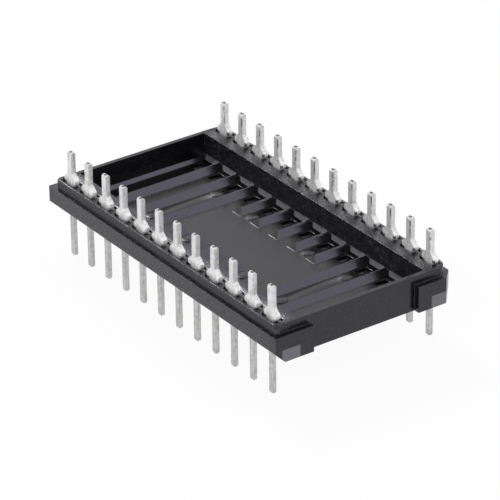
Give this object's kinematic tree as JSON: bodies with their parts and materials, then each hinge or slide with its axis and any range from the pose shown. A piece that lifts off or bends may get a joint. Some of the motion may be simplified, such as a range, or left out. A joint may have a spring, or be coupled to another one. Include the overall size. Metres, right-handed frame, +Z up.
{
  "type": "dip header",
  "caption": "Open-topped black DIP header: a ridged, vented tray whose long rails hold two rows of tin-plated contacts with solder posts above and board legs below.",
  "frame": {"origin": "centre of the tray's underside, in the plane that seats on the board or socket", "axes": "+X along the contact rows, +Y across them towards the row with the marked corner, +Z up through the open top"},
  "size_m": [0.0318, 0.0174, 0.0094],
  "materials": {
    "body_plastic": "semi-gloss",
    "contact_metal": "satin"
  },
  "bodies": {
    "root": {"header_body": "body_plastic", "contact_01": "contact_metal", "contact_02": "contact_metal", "contact_03": "contact_metal", "contact_04": "contact_metal", "contact_05": "contact_metal", "contact_06": "contact_metal", "contact_07": "contact_metal", "contact_08": "contact_metal", "contact_09": "contact_metal", "contact_10": "contact_metal", "contact_11": "contact_metal", "contact_12": "contact_metal", "contact_13": "contact_metal", "contact_14": "contact_metal", "contact_15": "contact_metal", "contact_16": "contact_metal", "contact_17": "contact_metal", "contact_18": "contact_metal", "contact_19": "contact_metal", "contact_20": "contact_metal", "contact_21": "contact_metal", "contact_22": "contact_metal", "contact_23": "contact_metal", "contact_24": "contact_metal"}
  },
  "joints": []
}
